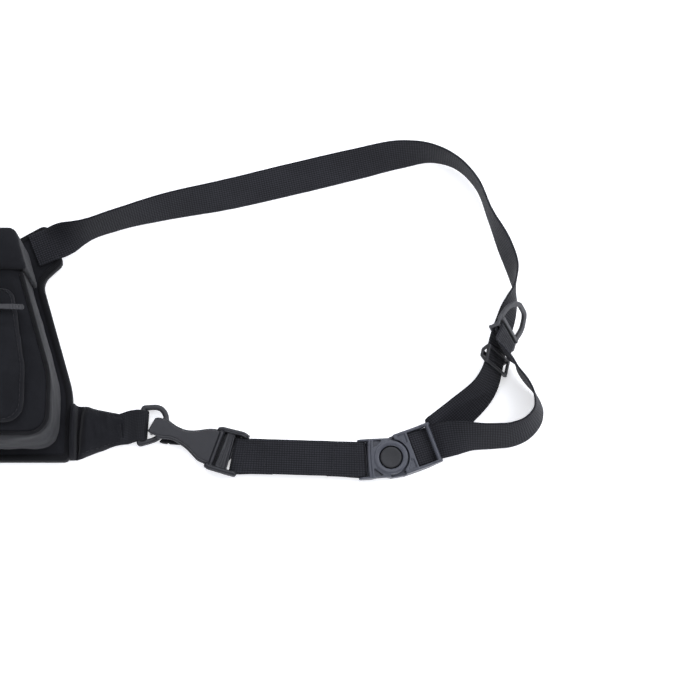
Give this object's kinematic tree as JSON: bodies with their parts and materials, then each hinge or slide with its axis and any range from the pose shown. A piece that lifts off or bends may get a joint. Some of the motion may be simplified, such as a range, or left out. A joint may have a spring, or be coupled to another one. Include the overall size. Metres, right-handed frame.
{
  "type": "binocular harness pack",
  "caption": "Padded chest pouch for binoculars with a lidded mouth and zipped front pocket, and webbing shoulder straps with adjusters, round release buckles and snap hooks on D-rings.",
  "frame": {"origin": "centre of the pack's flat back face, the face worn against the chest", "axes": "+Z out of the chest through the pouch, +Y towards the lid end, +X towards the strap that the picture shows"},
  "size_m": [0.8542, 0.2475, 0.0805],
  "materials": {
    "pack_fabric": "matt woven nylon, black",
    "webbing": "flat woven webbing, black, fine ribs",
    "hook_plastic": "satin moulded plastic, charcoal",
    "ring_plastic": "satin moulded plastic, charcoal",
    "buckle_plastic": "satin moulded plastic, slate grey",
    "button_plastic": "matt moulded plastic, dark grey",
    "slider_plastic": "satin moulded plastic, mid grey",
    "glide_plastic": "satin moulded plastic, dark grey",
    "zip_plastic": "matt moulded plastic, black",
    "zip_tape": "fine woven tape, black",
    "spring_steel": "plain spring steel",
    "magnet": "nickel plated"
  },
  "bodies": {
    "pack": {"back_panel": "pack_fabric", "pouch_shell": "pack_fabric", "pouch_magnet_right": "magnet", "pouch_magnet_left": "magnet", "front_pocket": "pack_fabric", "zip_tape": "zip_tape", "zip_coil": "zip_plastic", "side_wing_right": "pack_fabric", "side_wing_left": "pack_fabric", "ring_tab_right": "webbing", "ring_tab_left": "webbing", "shoulder_strap_right": "webbing", "shoulder_strap_left": "webbing", "front_leg_right": "webbing", "front_leg_left": "webbing", "side_strap_right": "webbing", "side_strap_left": "webbing", "buckle_female_right": "buckle_plastic", "buckle_female_left": "buckle_plastic", "female_magnet_right": "magnet", "female_magnet_left": "magnet"},
    "lid": {"lid": "pack_fabric", "lid_magnet_right": "magnet", "lid_magnet_left": "magnet", "lid_tab": "webbing"},
    "zip_slider": {"zip_slider": "zip_plastic"},
    "zip_pull": {"zip_pull": "zip_plastic"},
    "d_ring_right": {"d_ring_right": "ring_plastic"},
    "d_ring_left": {"d_ring_left": "ring_plastic"},
    "hook_right": {"hook_body_right": "hook_plastic", "gate_pin_right": "spring_steel", "gate_spring_right": "spring_steel"},
    "hook_left": {"hook_body_left": "hook_plastic", "gate_pin_left": "spring_steel", "gate_spring_left": "spring_steel"},
    "gate_right": {"hook_gate_right": "hook_plastic"},
    "gate_left": {"hook_gate_left": "hook_plastic"},
    "buckle_male_right": {"buckle_male_right": "buckle_plastic", "male_magnet_right": "magnet", "button_spring_right": "spring_steel"},
    "buckle_male_left": {"buckle_male_left": "buckle_plastic", "male_magnet_left": "magnet", "button_spring_left": "spring_steel"},
    "button_right": {"release_button_right": "button_plastic"},
    "button_left": {"release_button_left": "button_plastic"},
    "loop_slider_right": {"loop_slider_right": "slider_plastic"},
    "loop_slider_left": {"loop_slider_left": "slider_plastic"},
    "tri_glide_right": {"tri_glide_right": "glide_plastic"},
    "tri_glide_left": {"tri_glide_left": "glide_plastic"}
  },
  "joints": [
    {"name": "lid_open", "type": "hinge", "parent": "pack", "child": "lid", "pos_m": [0, 0.046, 0.0682], "axis": [1, 0, 0], "range_deg": [0, 110]},
    {"name": "zip_slide", "type": "slide", "parent": "pack", "child": "zip_slider", "axis": [-1, 0, 0], "range_m": [0, 0.084]},
    {"name": "zip_pull_flip", "type": "hinge", "parent": "zip_slider", "child": "zip_pull", "pos_m": [0.0452, 0.016, 0.0788], "axis": [0, -1, 0], "range_deg": [0, 160]},
    {"name": "hook_tilt_right", "type": "hinge", "parent": "pack", "child": "hook_right", "pos_m": [0.2143, -0.0746, 0.005], "axis": [0.3338, 0.9426, 0], "range_deg": [0, 6], "deforming": ["side_strap_right"]},
    {"name": "hook_tilt_left", "type": "hinge", "parent": "pack", "child": "hook_left", "pos_m": [-0.2143, -0.0746, 0.005], "axis": [0.3338, -0.9426, 0], "range_deg": [0, 6], "deforming": ["side_strap_left"]},
    {"name": "d_ring_swing_right", "type": "hinge", "parent": "pack", "child": "d_ring_right", "pos_m": [0.143, -0.0512, 0.0044], "axis": [-0.1045, -0.9945, 0], "range_deg": [0, 18.6]},
    {"name": "d_ring_swing_left", "type": "hinge", "parent": "pack", "child": "d_ring_left", "pos_m": [-0.143, -0.0512, 0.0044], "axis": [-0.1045, 0.9945, 0], "range_deg": [0, 18.6]},
    {"name": "gate_press_right", "type": "hinge", "parent": "hook_right", "child": "gate_right", "pos_m": [0.17848, -0.06191, 0.0044], "axis": [0.3338, 0.9426, 0], "range_deg": [0, 14], "stiffness_Nm_per_rad": 0.03, "deforming": ["gate_spring_right"]},
    {"name": "gate_press_left", "type": "hinge", "parent": "hook_left", "child": "gate_left", "pos_m": [-0.17848, -0.06191, 0.0044], "axis": [0.3338, -0.9426, 0], "range_deg": [0, 14], "stiffness_Nm_per_rad": 0.03, "deforming": ["gate_spring_left"]},
    {"name": "buckle_swivel_right", "type": "hinge", "parent": "pack", "child": "buckle_male_right", "pos_m": [0.3187, -0.0748, 0.005], "axis": [0, 0, 1], "range_deg": [-12, 12], "deforming": ["side_strap_right"]},
    {"name": "buckle_swivel_left", "type": "hinge", "parent": "pack", "child": "buckle_male_left", "pos_m": [-0.3187, -0.0748, 0.005], "axis": [0, 0, -1], "range_deg": [-12, 12], "deforming": ["side_strap_left"]},
    {"name": "button_press_right", "type": "slide", "parent": "buckle_male_right", "child": "button_right", "axis": [0, 0, -1], "range_m": [0, 0.0012], "stiffness_N_per_m": 300, "deforming": ["button_spring_right"]},
    {"name": "button_press_left", "type": "slide", "parent": "buckle_male_left", "child": "button_left", "axis": [0, 0, -1], "range_m": [0, 0.0012], "stiffness_N_per_m": 300, "deforming": ["button_spring_left"]},
    {"name": "loop_adjust_right", "type": "slide", "parent": "pack", "child": "loop_slider_right", "axis": [0.3263, 0.9453, 0], "range_m": [0, 0.006], "deforming": ["front_leg_right"]},
    {"name": "loop_adjust_left", "type": "slide", "parent": "pack", "child": "loop_slider_left", "axis": [-0.3263, 0.9453, 0], "range_m": [0, 0.006], "deforming": ["front_leg_left"]},
    {"name": "glide_adjust_right", "type": "slide", "parent": "pack", "child": "tri_glide_right", "axis": [-0.2185, -0.9747, -0.0482], "range_m": [0, 0.004]},
    {"name": "glide_adjust_left", "type": "slide", "parent": "pack", "child": "tri_glide_left", "axis": [0.2185, -0.9747, -0.0482], "range_m": [0, 0.004]}
  ],
  "couplings": [
    {"joint": "d_ring_swing_right", "follows": "hook_tilt_right", "ratio": 3.08},
    {"joint": "d_ring_swing_left", "follows": "hook_tilt_left", "ratio": 3.08}
  ]
}
